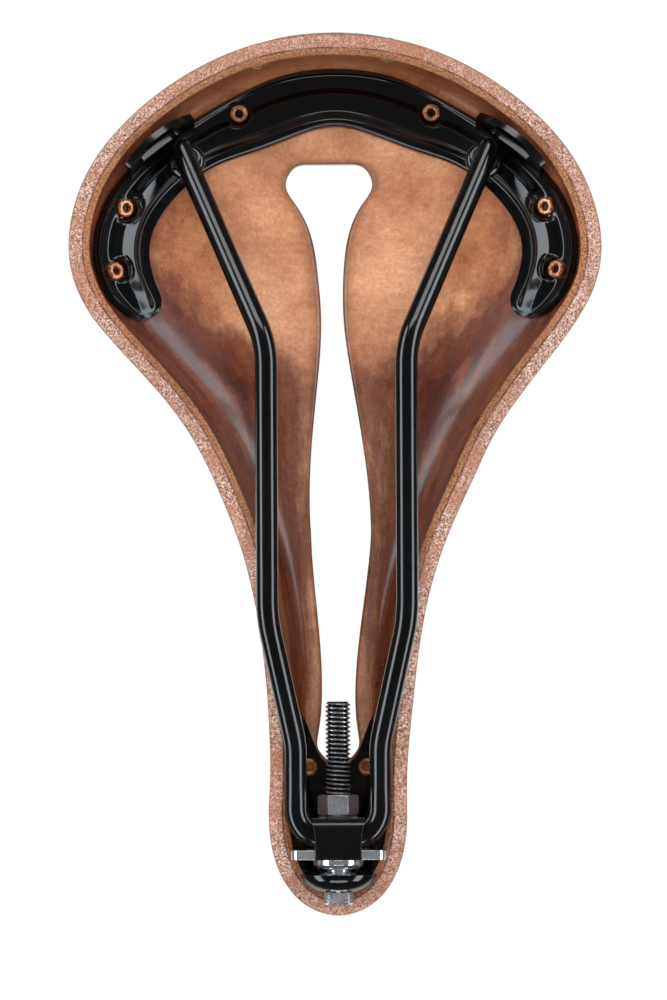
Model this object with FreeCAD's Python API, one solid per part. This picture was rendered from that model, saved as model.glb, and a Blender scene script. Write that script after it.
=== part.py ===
import FreeCAD, Part
import math
import os

os.makedirs("parts", exist_ok=True)

V = FreeCAD.Vector
X_AXIS = V(1, 0, 0)
Y_AXIS = V(0, 1, 0)
Z_AXIS = V(0, 0, 1)

# A leather tension saddle. Millimetres. The origin is midway between the two rails at the middle
# of their straight clamp stretch. +Y is the rear, -Y the nose, +Z up towards the rider.

# ---------------------------------------------------------------- driving dimensions
LEATHER_T = 4.5  # thickness of the leather top
SKIN_GAP = 0.3  # air between the leather and the steel pressed against it
SHEET_T = 2.0  # pressed steel of the cantle plate, nose plate and nose cup
CLEAR = 0.3  # between pieces that slide past each other
TINY = 0.05  # between pieces of one body that merely touch

ROD_R = 3.5  # rail rod
RAIL_HALF = 22.0  # half the spacing of the rails where the seat post clamps
LEG_HALF = 13.4  # half the spacing of the two legs under the nose
CLAMP_REAR_Y = 40.5  # the straight clamp stretch lies between these two bends
CLAMP_FRONT_Y = -45.5
RAIL_END_X = 48.7  # where each rod ends under the cantle plate
RAIL_END_Y = 102.5
RAIL_BENDS = [22.0, 34.0, 30.0, 26.0, 9.5]  # bend radii from the rear to the U

BOLT_R = 4.0  # tension bolt, over its thread
THREAD_FIT = 0.05  # radial clearance of the nuts on the bolt
BOLT_Z = 24.0
U_Y = -115.4  # the U of the rod under the nose
U_Z = BOLT_Z - BOLT_R - ROD_R - 1.0

# Faces of the tension mechanism, from the rear to the front
BOLT_REAR_Y = -72.3
LOCK_REAR_Y = -101.7
LEAF_REAR_Y = -108.3
PLATE_REAR_Y = U_Y - ROD_R - TINY
PLATE_FRONT_Y = PLATE_REAR_Y - 2.95
NUT_FRONT_Y = PLATE_FRONT_Y - 3.3
CUP_REAR_Y = -126.9
CUP_FRONT_Y = -133.4
SQUARE_Y = -136.3

BEAD_HEIGHT = 3.2  # how far the pressed bead of the cantle plate stands down
LOOP_HANG = 15.0  # how far a bag loop hangs down
LOOP_LEAN = V(0.5, 4.7, 0)  # and how far it leans out by then
LOOP_SLOT_LONG = 17.5
LOOP_SLOT_HIGH = 6.0

RIVET_SHANK_R = 2.4
RIVET_HEAD_R = 5.5
RIVET_RING_R = 2.75
RIVET_BORE_R = 1.35
DIMPLE_R = 0.9

STRAP_T = 3.0
STRAP_HALF = 8.6  # at its bend
STRAP_WAIST = 7.4  # along its floor
LEAF_HALF = 6.2  # where the leaf stands between the legs of the U
NUT_R = 8.0
HEX_FLATS = 11.3
SQUARE_END = 9.0
SQUARE_CORNER = 1.4
THRUST_HALF = 15.0
THRUST_CORNER = 3.0
THRUST_SHOULDER = 8.0  # its upper corners clear the leather
LEAF_RISE = 5.8  # how far the strap's leaf and the thrust plate stand above the bolt's axis
CUP_HALF = 12.1
CUP_BOTTOM_Z = 13.5
CUP_TOP_Z = 31.0

BADGE_OFFSET = 4.0  # the badge sits a little to one side
BADGE_HALF = 27.0
BADGE_RISE = 7.0
BADGE_Z = 39.0
BADGE_RIVET = 21.4
BADGE_T = 0.8
BADGE_SHANK_R = 1.2

# ---------------------------------------------------------------- the leather's shape
# Half of the saddle, from the middle of the rear to the middle of the nose. Each station joins a
# point on the keyhole slot to a point on the skirt's cut edge:
# (slot x, slot y, edge x, edge y, edge height, squareness of the section)
STATIONS = [
    (0.0, 98.2, 0.0, 139.0, 27.0, 7.0),
    (6.0, 98.2, 23.0, 136.3, 26.5, 6.8),
    (11.3, 97.0, 44.0, 127.8, 25.5, 6.0),
    (13.8, 91.0, 61.8, 115.2, 24.0, 4.8),
    (10.0, 84.4, 75.2, 100.0, 22.0, 3.8),
    (5.8, 74.7, 82.5, 83.5, 20.5, 3.2),
    (4.0, 62.0, 83.8, 66.5, 20.0, 3.0),
    (3.6, 48.0, 77.0, 49.5, 19.5, 2.9),
    (5.0, 33.0, 62.5, 31.5, 18.5, 2.8),
    (7.3, 16.0, 49.2, 14.0, 17.5, 2.7),
    (9.2, -2.0, 40.5, -3.0, 16.5, 2.7),
    (9.5, -21.0, 32.7, -21.5, 15.5, 2.7),
    (7.6, -41.0, 27.2, -41.0, 15.0, 2.8),
    (5.6, -61.0, 24.1, -60.5, 15.0, 3.0),
    (5.6, -77.0, 22.4, -79.0, 15.0, 3.2),
    (6.7, -85.5, 21.6, -96.0, 15.0, 3.4),
    (5.6, -89.0, 21.7, -112.0, 16.0, 3.4),
    (3.8, -90.9, 18.6, -126.0, 20.5, 3.3),
    (1.9, -91.7, 11.0, -136.4, 28.0, 3.2),
    (0.0, -92.0, 0.0, -140.3, 30.5, 3.2),
]
LAST = len(STATIONS) - 1
CROWN_Z = 47.0  # lowest point of the ridge line
CROWN_SAG = 0.00034  # how much the ridge line rises to both ends
CROWN_TILT = 0.008  # the rear stands a little higher than the nose
CROWN_SIDE = 0.0006  # how much the top falls away sideways


def spline(points):
    """A curve through the points, one parameter step from each to the next, square to the middle."""
    curve = Part.BSplineCurve()
    curve.interpolate(
        Points=points,
        Parameters=[float(i) for i in range(len(points))],
        InitialTangent=V(points[1].x - points[0].x, 0, 0),
        FinalTangent=V(points[-1].x - points[-2].x, 0, 0),
        Scale=False,
    )
    return curve


SLOT = spline([V(s[0], s[1], 0) for s in STATIONS])
EDGE = spline([V(s[2], s[3], s[4]) for s in STATIONS])
SECTION = spline([V(i, 0, s[5]) for i, s in enumerate(STATIONS)])


def skin(t, s):
    """A point of the leather's outer face: t runs round the saddle, s from the slot to the edge."""
    slot = SLOT.value(t)
    edge = EDGE.value(t)
    power = SECTION.value(t).z
    reach = s * (2 - s)
    x = slot.x + (edge.x - slot.x) * reach
    y = slot.y + (edge.y - slot.y) * reach
    top = CROWN_Z + CROWN_SAG * y * y + CROWN_TILT * y - CROWN_SIDE * x * x
    z = edge.z + (top - edge.z) * math.sqrt(max(0.0, 1 - reach**power))
    return V(x, y, z)


def skin_normal(t, s):
    """The outward normal of the leather at the same place."""
    d = 0.002
    t0, t1 = max(0.0, t - d), min(float(LAST), t + d)
    s0, s1 = max(0.0, s - d), min(1.0, s + d)
    along = skin(t1, s) - skin(t0, s)
    across = skin(t, s1) - skin(t, s0)
    if t0 == 0.0 or t1 == LAST:
        along = V(along.x, 0, 0)
    n = along.cross(across)
    n.normalize()
    return n


def inside(t, s, depth):
    """A point at the given depth under the leather's outer face."""
    return skin(t, s) - skin_normal(t, s) * depth


# ---------------------------------------------------------------- general shapes
def face_through(rows):
    surface = Part.BSplineSurface()
    surface.interpolate(rows)
    return surface


def thick_patch(rows_a, rows_b):
    """A solid between two surfaces through matching rows of points."""
    a = face_through(rows_a)
    b = face_through(rows_b)
    u0, u1, v0, v1 = a.bounds()
    p0, p1, q0, q1 = b.bounds()
    sides = [
        Part.makeRuledSurface(a.uIso(u0).toShape(), b.uIso(p0).toShape()),
        Part.makeRuledSurface(a.uIso(u1).toShape(), b.uIso(p1).toShape()),
        Part.makeRuledSurface(a.vIso(v0).toShape(), b.vIso(q0).toShape()),
        Part.makeRuledSurface(a.vIso(v1).toShape(), b.vIso(q1).toShape()),
    ]
    shell = Part.makeShell([a.toShape(), b.toShape()] + sides)
    shell.sewShape(0.001)
    shell = Part.Shell(shell.Faces)
    solid = Part.Solid(shell)
    if solid.Volume < 0:
        solid.reverse()
    return solid


def mirrored(shape):
    return shape.mirror(V(0, 0, 0), X_AXIS)


def both_sides(shape):
    """The two mirrored copies as separate solids of one node."""
    return Part.makeCompound([shape, mirrored(shape)])


def biggest(shape):
    return max(shape.Solids, key=lambda solid: solid.Volume)


def smooth_step(value):
    value = min(max(value, 0.0), 1.0)
    return value * value * (3 - 2 * value)


def rod(path_points, bends, radius):
    """A round rod along straight legs joined by bends of the given radii."""
    edges = []
    start = path_points[0]
    for i in range(1, len(path_points) - 1):
        before = path_points[i - 1] - path_points[i]
        after = path_points[i + 1] - path_points[i]
        before.normalize()
        after.normalize()
        half = before.getAngle(after) / 2
        back = bends[i - 1] / math.tan(half)
        p = path_points[i] + before * back
        q = path_points[i] + after * back
        bisector = before + after
        bisector.normalize()
        centre = path_points[i] + bisector * (bends[i - 1] / math.sin(half))
        inner = path_points[i] - centre
        inner.normalize()
        mid = centre + inner * bends[i - 1]
        if (p - start).Length > 0.001:
            edges.append(Part.makeLine(start, p))
        edges.append(Part.Arc(p, mid, q).toShape())
        start = q
    edges.append(Part.makeLine(start, path_points[-1]))
    path = Part.Wire(edges)
    heading = path_points[1] - path_points[0]
    heading.normalize()
    circle = Part.Wire(Part.makeCircle(radius, path_points[0], heading))
    return path.makePipeShell([circle], True, False, 2)


def turned(profile, origin, axis):
    """A solid of revolution from (distance along the axis, radius) points."""
    side = axis.cross(Y_AXIS)
    if side.Length < 0.1:
        side = axis.cross(X_AXIS)
    side.normalize()
    pts = [origin + axis * d + side * r for d, r in profile]
    return Part.Face(Part.makePolygon(pts + [pts[0]])).revolve(origin, axis, 360)


def bolt_hole(radius):
    """A cylinder along the bolt's axis through the whole mechanism, to cut holes with."""
    return Part.makeCylinder(radius, 60, V(0, LOCK_REAR_Y + 10, BOLT_Z), V(0, -1, 0))


# ---------------------------------------------------------------- leather top
ROUND_STEPS = 2 * LAST
ACROSS = [0.0, 0.07, 0.15, 0.24, 0.34, 0.44, 0.54, 0.64, 0.73, 0.81, 0.88, 0.94, 1.0]


def skin_rows(depth):
    rows = []
    for i in range(ROUND_STEPS + 1):
        t = i * LAST / ROUND_STEPS
        row = []
        for s in ACROSS:
            p = inside(t, s, depth)
            if i in (0, ROUND_STEPS):
                p.x = 0.0
            row.append(p)
        rows.append(row)
    return rows


def leather_half(outer_depth, inner_depth):
    """Half of the leather's shape between two depths."""
    return thick_patch(skin_rows(outer_depth), skin_rows(inner_depth))


def leather_top():
    half = leather_half(0.0, LEATHER_T)
    return half.fuse(mirrored(half)).removeSplitter()


SEARCH_ROUND = 38
SEARCH_ACROSS = 12
SEARCH = [
    (t, s, inside(t, s, LEATHER_T))
    for t in [i * LAST / SEARCH_ROUND for i in range(SEARCH_ROUND + 1)]
    for s in [j / SEARCH_ACROSS for j in range(SEARCH_ACROSS + 1)]
]


def search(depth, miss, t_most):
    """Where on the leather, offset inwards by the depth, the two-part miss is nought."""
    near = [g for g in SEARCH if g[0] <= t_most]
    t, s, _ = min(near, key=lambda g: miss(g[2])[0] ** 2 + miss(g[2])[1] ** 2)
    d = 0.004
    for _ in range(12):
        here = miss(inside(t, s, depth))
        if abs(here[0]) + abs(here[1]) < 1e-5:
            break
        next_t = t + d if t < LAST - d else t - d
        next_s = s + d if s < 1 - d else s - d
        by_t = miss(inside(next_t, s, depth))
        by_s = miss(inside(t, next_s, depth))
        a = (by_t[0] - here[0]) / (next_t - t)
        b = (by_s[0] - here[0]) / (next_s - s)
        c = (by_t[1] - here[1]) / (next_t - t)
        e = (by_s[1] - here[1]) / (next_s - s)
        det = a * e - b * c
        if abs(det) < 1e-9:
            break
        t = min(max(t - (e * here[0] - b * here[1]) / det, 0.0), float(LAST))
        s = min(max(s - (a * here[1] - c * here[0]) / det, 0.0), 1.0)
    return t, s


def to_side(x, vector):
    return V(-vector.x, vector.y, vector.z) if x < 0 else vector


def under_leather(x, y, depth):
    """(point, outward normal) of the leather's offset face straight over plan (x, y)."""
    t, s = search(depth, lambda p: (p.x - abs(x), p.y - y), LAST)
    return to_side(x, inside(t, s, depth)), to_side(x, skin_normal(t, s))


def on_rear_skirt(x, z, depth):
    """(point, outward normal) on the rear skirt, found from the side and the height."""
    t, s = search(depth, lambda p: (p.x - abs(x), (p.z - z) if p.y > 100 else 99.0), 5.0)
    return to_side(x, inside(t, s, depth)), to_side(x, skin_normal(t, s))


# ---------------------------------------------------------------- rivets
def rivet_places(spots):
    """(point on the leather's outer face, its normal) over each plan position."""
    places = []
    for x, y in spots:
        p, n = under_leather(x, y, LEATHER_T)
        places.append((p + n * LEATHER_T, n))
    return places


CANTLE_RIVET_SPOTS = [(31.0, 114.6), (68.2, 84.3), (71.4, 63.8)]
NOSE_RIVET_SPOTS = [(9.6, -93.5), (9.6, -117.5)]
CANTLE_RIVETS = rivet_places(CANTLE_RIVET_SPOTS)
NOSE_RIVETS = rivet_places(NOSE_RIVET_SPOTS)
RIVET_LENGTH = LEATHER_T + SKIN_GAP + SHEET_T


def tubular_rivet(place):
    """A copper rivet: domed head on the leather, hollow shank, rolled ring against the steel."""
    outer, normal = place
    head = turned(
        [
            (TINY, 0),
            (TINY, RIVET_HEAD_R),
            (0.5, RIVET_HEAD_R),
            (1.1, RIVET_HEAD_R * 0.86),
            (1.5, RIVET_HEAD_R * 0.55),
            (1.7, 0),
        ],
        outer,
        normal,
    )
    end = -(RIVET_LENGTH + 1.5)
    shank = turned(
        [
            (TINY, 0),
            (TINY, RIVET_SHANK_R),
            (-RIVET_LENGTH - TINY, RIVET_SHANK_R),
            (-RIVET_LENGTH - TINY, RIVET_RING_R),
            (end + 0.45, RIVET_RING_R),
            (end, RIVET_RING_R - 0.45),
            (end, RIVET_BORE_R + 0.35),
            (end + 0.35, RIVET_BORE_R),
            (-RIVET_LENGTH + 1.2, RIVET_BORE_R),
            (-RIVET_LENGTH + 1.2, 0),
        ],
        outer,
        normal,
    )
    return head.fuse(shank).removeSplitter()


def rivet_holes(shape, places):
    """Holes for the rivets at these places and their mirror images."""
    for centre, normal in places:
        hole = Part.makeCylinder(RIVET_SHANK_R + TINY, 24, centre - normal * 16, normal)
        shape = shape.cut(hole).cut(mirrored(hole))
    return shape


def rivet_seats(shape, places):
    """Flat seats in the curved steel under the rivets' rolled rings."""
    for centre, normal in places:
        seat = Part.makeCylinder(RIVET_RING_R + CLEAR, 8, centre - normal * RIVET_LENGTH, normal * -1)
        shape = shape.cut(seat).cut(mirrored(seat))
    return rivet_holes(shape, places)


# ---------------------------------------------------------------- cantle plate
# Rear and front edge of the C-shaped plate in plan, from its middle to the tip of one arm.
CANTLE = [
    (0.0, 128.9, 0.0, 110.2),
    (17.0, 126.7, 12.0, 107.4),
    (32.0, 120.2, 25.5, 102.3),
    (46.0, 112.0, 37.8, 97.9),
    (58.2, 103.4, 47.0, 91.8),
    (68.0, 93.9, 53.8, 84.8),
    (74.4, 83.0, 58.4, 77.2),
    (76.8, 70.8, 59.8, 69.4),
    (74.8, 60.2, 58.4, 62.2),
    (71.4, 54.4, 56.6, 57.6),
    (67.6, 50.6, 55.9, 54.2),
    (64.6, 48.9, 56.9, 51.0),
    (61.9, 48.5, 59.3, 49.1),
]
CANTLE_LAST = len(CANTLE) - 1
BEAD_END = 10.6  # station where the bead has run out
REAR_LINE = spline([V(c[0], c[1], 0) for c in CANTLE])
FRONT_LINE = spline([V(c[2], c[3], 0) for c in CANTLE])
POCKET_R = 3.4  # flat seat pressed round each rivet
POCKET_FADE = 2.2


def pocket(x, y):
    """0 in the flat seat of a rivet, 1 away from it."""
    nearest = min(math.hypot(x - rx, y - ry) for rx, ry in CANTLE_RIVET_SPOTS)
    return smooth_step((nearest - POCKET_R) / POCKET_FADE)


def bead(across, t):
    """Height of the bead at a place across the plate, 0 rear edge to 1 front edge."""
    middle = 0.60 - 0.10 * smooth_step(t / 5.0)
    rise = smooth_step(1 - (abs(across - middle) - 0.12) / 0.18)
    return BEAD_HEIGHT * rise * smooth_step((BEAD_END - t) / 1.4)


def cantle_rows(depth):
    rows = []
    steps = 4 * CANTLE_LAST
    for i in range(steps + 1):
        t = i * CANTLE_LAST / steps
        rear = REAR_LINE.value(t)
        front = FRONT_LINE.value(t)
        row = []
        for j in range(21):
            across = j / 20.0
            plan = rear + (front - rear) * across
            p, n = under_leather(plan.x, plan.y, LEATHER_T + SKIN_GAP)
            p = p - n * (depth + bead(across, t) * pocket(plan.x, plan.y))
            if i == 0:
                p.x = 0.0
            row.append(p)
        rows.append(row)
    return rows


def cantle_plate():
    half = thick_patch(cantle_rows(0.0), cantle_rows(SHEET_T))
    whole = rivet_seats(half.fuse(mirrored(half)).removeSplitter(), CANTLE_RIVETS)
    p, n = under_leather(69.4, 80.6, LEATHER_T)
    dimple = Part.makeCylinder(DIMPLE_R, 12, p - n * 9, n)
    return whole.cut(dimple).cut(mirrored(dimple))


def slot_outline(middle, run, down, long, high):
    """A round-ended slot as a face."""
    r = high / 2
    half = long / 2 - r
    corners = [
        middle - run * half - down * r,
        middle + run * half - down * r,
        middle + run * half + down * r,
        middle - run * half + down * r,
    ]
    wire = Part.Wire(
        [
            Part.makeLine(corners[0], corners[1]),
            Part.Arc(corners[1], middle + run * (half + r), corners[2]).toShape(),
            Part.makeLine(corners[2], corners[3]),
            Part.Arc(corners[3], middle - run * (half + r), corners[0]).toShape(),
        ]
    )
    return Part.Face(wire)


def bag_loop():
    """One bag loop: a steep flap under the plate's rear corner, with a slot through it."""
    count = 8
    rows = []
    for i in range(count + 1):
        u = i / count
        t = 3.02 + 1.86 * u
        fold = REAR_LINE.value(t)
        inward = FRONT_LINE.value(t) - fold
        inward.normalize()
        start = fold + inward * 1.2
        p, _ = under_leather(start.x, start.y, LEATHER_T + SKIN_GAP + 1.0)
        share = math.sin(math.pi * (0.12 + 0.76 * u)) ** 0.35
        sweep = (LOOP_LEAN - Z_AXIS * LOOP_HANG) * share
        rows.append([p, p + sweep * 0.5, p + sweep])
    back = []
    for i, row in enumerate(rows):
        along = rows[min(i + 1, count)][0] - rows[max(i - 1, 0)][0]
        n = along.cross(row[2] - row[0])
        n.normalize()
        if n.x + n.y > 0:
            n = n * -1
        back.append([p + n * SHEET_T for p in row])
    flap = thick_patch(rows, back)
    mid = count // 2
    fall = rows[mid][2] - rows[mid][0]
    middle = rows[mid][0] + fall * 0.53 + (back[mid][0] - rows[mid][0]) * 0.5
    run = rows[mid + 2][1] - rows[mid - 2][1]
    run.normalize()
    through = run.cross(fall)
    through.normalize()
    down = through.cross(run)
    slot = slot_outline(middle, run, down, LOOP_SLOT_LONG, LOOP_SLOT_HIGH)
    slot.translate(through * -6)
    return flap.cut(slot.extrude(through * 12))


# ---------------------------------------------------------------- rails
RAIL_LIFT = 0.3  # between the end of a rail and the plate it is welded to
WELD_RING_R = 4.1
WELD_R = 2.0


def rail_end():
    """The end of a rail's centre line, its upper side just under the bead of the cantle plate."""
    p, n = under_leather(RAIL_END_X, RAIL_END_Y, LEATHER_T)
    drop = SKIN_GAP + SHEET_T + BEAD_HEIGHT + ROD_R + RAIL_LIFT
    return V(p.x, p.y, p.z - drop / n.z)


RAIL_TOP = rail_end()
RAIL_REAR_BEND = V(RAIL_HALF, CLAMP_REAR_Y, 0)


def rails():
    """One rod: from the cantle along each side to a U under the nose, its two ends domed."""
    half = [
        RAIL_TOP,
        RAIL_REAR_BEND,
        V(RAIL_HALF, CLAMP_FRONT_Y, 0),
        V(LEG_HALF, -85.3, U_Z * 0.70),
        V(LEG_HALF, -102.3, U_Z),
        V(LEG_HALF, U_Y, U_Z),
    ]
    points = half + [V(-p.x, p.y, p.z) for p in reversed(half)]
    bent = rod(points, RAIL_BENDS + RAIL_BENDS[::-1], ROD_R)
    dome = Part.makeSphere(ROD_R, RAIL_TOP)
    return bent.fuse(dome).fuse(mirrored(dome)).removeSplitter()


def weld(rail):
    """Weld round the front and sides of one rail's end, flattened against the cantle plate."""
    heading = RAIL_TOP - RAIL_REAR_BEND
    heading.normalize()
    side = heading.cross(Z_AXIS)
    side.normalize()
    up = side.cross(heading)
    p, n = under_leather(RAIL_END_X, RAIL_END_Y, LEATHER_T)
    roof = Part.makeCylinder(30, 20, p - n * (SKIN_GAP + SHEET_T + BEAD_HEIGHT + CLEAR), n)
    ring = Part.makeTorus(WELD_RING_R, WELD_R, RAIL_TOP + up * 1.9 - heading * 3.4, up)
    behind = Part.makeCylinder(30, 20, RAIL_TOP - heading * 0.4, heading)
    return biggest(ring.cut(rail).cut(roof).cut(behind))


# ---------------------------------------------------------------- nose plate and cup
def half_bowl(half_x, depth, bottom, top):
    """A rounded bowl open to the rear: half an ellipse in plan, its lower part an ellipsoid."""
    squash = FreeCAD.Matrix()
    squash.A11 = half_x
    squash.A22 = depth
    squash.A33 = BOLT_Z - bottom
    low = Part.makeSphere(1.0, V(0, 0, 0)).transformGeometry(squash)
    low.translate(V(0, CUP_REAR_Y, BOLT_Z))
    ellipse = Part.Ellipse(V(0, CUP_REAR_Y, BOLT_Z), half_x, depth)
    upper = Part.Face(Part.Wire(ellipse.toShape())).extrude(V(0, 0, top - BOLT_Z))
    lower_half = Part.makeBox(60, 60, 40, V(-30, CUP_REAR_Y - 30, BOLT_Z - 40))
    bowl = low.common(lower_half).fuse(upper)
    front = Part.makeBox(60, 40, 80, V(-30, CUP_REAR_Y - 40, -10))
    return bowl.common(front)


def square_bar(size, corner, y0, y1):
    """A square bar along the bolt's axis with its four long corners taken off."""
    h = size / 2
    pts = []
    for sx, sz in [(1, 1), (-1, 1), (-1, -1), (1, -1)]:
        a = V(sx * h, y0, BOLT_Z + sz * (h - corner))
        b = V(sx * (h - corner), y0, BOLT_Z + sz * h)
        pts += [a, b] if sx * sz > 0 else [b, a]
    return Part.Face(Part.makePolygon(pts + [pts[0]])).extrude(V(0, y1 - y0, 0))


def nose_cup():
    """The bowl at the front of the nose plate, with a square hole that holds the bolt."""
    depth = CUP_REAR_Y - CUP_FRONT_Y
    outer = half_bowl(CUP_HALF, depth, CUP_BOTTOM_Z, CUP_TOP_Z)
    inner = half_bowl(CUP_HALF - SHEET_T, depth - SHEET_T, CUP_BOTTOM_Z + SHEET_T, CUP_TOP_Z + 5)
    inner.translate(V(0, 0.01, 0))
    skin_side = leather_half(-3.0, LEATHER_T + CLEAR)
    cup = outer.cut(skin_side).cut(mirrored(skin_side)).cut(inner)
    hole = square_bar(SQUARE_END + 2 * TINY, SQUARE_CORNER, CUP_FRONT_Y - 5, CUP_REAR_Y - 1)
    return biggest(cup.cut(hole))


def nose_plate():
    """A sheet under the nose leather, its rear edge curved round the end of the keyhole slot."""
    half = leather_half(LEATHER_T + SKIN_GAP, LEATHER_T + SKIN_GAP + SHEET_T)
    plan = [
        V(0, -92.8, 0),
        V(3.4, -92.4, 0),
        V(5.4, -90.6, 0),
        V(7.6, -86.0, 0),
        V(9.6, -80.5, 0),
        V(11.0, -77.2, 0),
        V(12.4, -77.4, 0),
        V(13.6, -81.0, 0),
        V(14.0, -90.0, 0),
        V(14.0, -112.0, 0),
        V(14.0, -126.0, 0),
        V(11.0, -135.0, 0),
        V(0, -139.0, 0),
    ]
    runs = [plan[:6], plan[5:9], plan[9:]]
    curves = []
    for run in runs:
        curve = Part.BSplineCurve()
        curve.interpolate(Points=run)
        curves.append(curve.toShape())
    wire = Part.Wire(
        [
            curves[0],
            curves[1],
            Part.makeLine(plan[8], plan[9]),
            curves[2],
            Part.makeLine(plan[-1], plan[0]),
        ]
    )
    prism = Part.Face(wire).extrude(V(0, 0, 90))
    above_cup = Part.makeBox(60, 100, 40, V(-1, -150, CUP_TOP_Z + TINY))
    half = half.common(prism).common(above_cup)
    sheet = half.fuse(mirrored(half)).removeSplitter()
    return rivet_seats(sheet, NOSE_RIVETS)


def cup_weld():
    """A small round weld on the rim of the cup at one side."""
    return Part.makeSphere(1.2, V(CUP_HALF - 1.1, CUP_REAR_Y + 0.6, BOLT_Z + 3.0))


# ---------------------------------------------------------------- tension mechanism
def tension_bolt():
    """The bolt: plain at the size of its thread, a shoulder in the cup and a square end."""
    shoulder_y = CUP_FRONT_Y + SHEET_T + 0.7
    neck_r = BOLT_R - 0.4
    flare_r = 6.0
    shank = turned(
        [
            (0, 0),
            (0, BOLT_R - 0.7),
            (0.7, BOLT_R),
            (BOLT_REAR_Y - NUT_FRONT_Y + 0.4, BOLT_R),
            (BOLT_REAR_Y - NUT_FRONT_Y + 0.6, neck_r),
            (BOLT_REAR_Y - NUT_FRONT_Y + 1.0, neck_r),
            (BOLT_REAR_Y - CUP_REAR_Y, flare_r),
            (BOLT_REAR_Y - CUP_REAR_Y + 1.0, flare_r),
            (BOLT_REAR_Y - shoulder_y, 4.6),
            (BOLT_REAR_Y - shoulder_y, 0),
        ],
        V(0, BOLT_REAR_Y, BOLT_Z),
        V(0, -1, 0),
    )
    end = square_bar(SQUARE_END, SQUARE_CORNER, shoulder_y + 0.5, SQUARE_Y)
    return shank.fuse(end).removeSplitter()


def lock_nut():
    """A hexagonal nut with a flat facing down, its corners turned off at both ends."""
    corner = HEX_FLATS / math.sqrt(3)
    chamfer = 0.8
    front_y = LEAF_REAR_Y + TINY
    size = LOCK_REAR_Y - front_y
    pts = []
    for i in range(6):
        a = math.radians(60 * i)
        pts.append(V(corner * math.cos(a), LOCK_REAR_Y, BOLT_Z + corner * math.sin(a)))
    nut = Part.Face(Part.makePolygon(pts + [pts[0]])).extrude(V(0, -size, 0))
    turned_off = turned(
        [
            (0, 0),
            (0, corner - chamfer),
            (chamfer * 0.6, corner + 0.01),
            (size - chamfer * 0.6, corner + 0.01),
            (size, corner - chamfer),
            (size, 0),
        ],
        V(0, LOCK_REAR_Y, BOLT_Z),
        V(0, -1, 0),
    )
    return nut.common(turned_off).cut(bolt_hole(BOLT_R + THREAD_FIT))


def tension_nut():
    """A round flange nut, its front edge rolled over."""
    rear_y = PLATE_FRONT_Y - TINY
    length = rear_y - NUT_FRONT_Y
    nut = turned(
        [
            (0, 0),
            (0, NUT_R - 0.3),
            (0.3, NUT_R),
            (length * 0.55, NUT_R),
            (length * 0.78, NUT_R - 0.5),
            (length * 0.93, NUT_R - 1.3),
            (length, NUT_R - 2.2),
            (length, 0),
        ],
        V(0, rear_y, BOLT_Z),
        V(0, -1, 0),
    )
    return nut.cut(bolt_hole(BOLT_R + THREAD_FIT))


def shackle_strap():
    """A bent strap: an upright leaf behind the rod and a narrower floor that passes under it."""
    leaf_top = BOLT_Z + LEAF_RISE
    floor_top = U_Z - ROD_R - TINY
    floor_low = floor_top - STRAP_T
    bend_r = 4.5
    rear = LEAF_REAR_Y
    bend_y = rear - bend_r
    bend_z = floor_low + bend_r
    slant = math.sqrt(0.5)

    def pt(y, z):
        return V(-STRAP_HALF, y, z)

    def bend(radius, start, end):
        return Part.Arc(start, pt(bend_y + radius * slant, bend_z - radius * slant), end).toShape()

    outer_a, outer_b = pt(rear, bend_z), pt(bend_y, floor_low)
    inner_a, inner_b = pt(rear - STRAP_T, bend_z), pt(bend_y, floor_top)
    wire = Part.Wire(
        [
            Part.makeLine(pt(rear, leaf_top), outer_a),
            bend(bend_r, outer_a, outer_b),
            Part.makeLine(outer_b, pt(PLATE_FRONT_Y, floor_low)),
            Part.makeLine(pt(PLATE_FRONT_Y, floor_low), pt(PLATE_FRONT_Y, floor_top)),
            Part.makeLine(pt(PLATE_FRONT_Y, floor_top), inner_b),
            bend(bend_r - STRAP_T, inner_b, inner_a),
            Part.makeLine(inner_a, pt(rear - STRAP_T, leaf_top)),
            Part.makeLine(pt(rear - STRAP_T, leaf_top), pt(rear, leaf_top)),
        ]
    )
    strap = Part.Face(wire).extrude(V(2 * STRAP_HALF, 0, 0))
    side = Part.BSplineCurve()
    side.interpolate(
        Points=[
            V(STRAP_HALF, rear - 1.0, 0),
            V(STRAP_WAIST + 0.5, rear - 3.6, 0),
            V(STRAP_WAIST, rear - 7.0, 0),
            V(STRAP_WAIST, PLATE_FRONT_Y - 1, 0),
        ]
    )
    far = V(STRAP_HALF + 4, PLATE_FRONT_Y - 1, 0)
    near = V(STRAP_HALF + 4, rear - 1.0, 0)
    trim = Part.Wire(
        [
            side.toShape(),
            Part.makeLine(V(STRAP_WAIST, PLATE_FRONT_Y - 1, 0), far),
            Part.makeLine(far, near),
            Part.makeLine(near, V(STRAP_HALF, rear - 1.0, 0)),
        ]
    )
    trim = Part.Face(trim).extrude(V(0, 0, 60))
    beside_leaf = Part.makeBox(20, 20, 40, V(LEAF_HALF, rear - 20, floor_top))
    for tool in (trim, beside_leaf):
        strap = strap.cut(tool).cut(mirrored(tool))
    return biggest(strap.cut(bolt_hole(BOLT_R + CLEAR)))


def thrust_plate():
    """The plate that carries the nut's push on to the U of the rod, its corners rounded."""
    low = U_Z - ROD_R
    high = BOLT_Z + LEAF_RISE
    corner = V(-THRUST_HALF, PLATE_FRONT_Y, low)
    box = Part.makeBox(2 * THRUST_HALF, PLATE_REAR_Y - PLATE_FRONT_Y, high - low, corner)
    for radius, z in ((THRUST_CORNER, low), (THRUST_SHOULDER, high)):
        corners = [
            e
            for e in box.Edges
            if abs(e.tangentAt(e.FirstParameter).y) > 0.99 and abs(e.CenterOfMass.z - z) < 0.01
        ]
        box = box.makeFillet(radius, corners)
    return box.cut(bolt_hole(BOLT_R + CLEAR))


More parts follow.
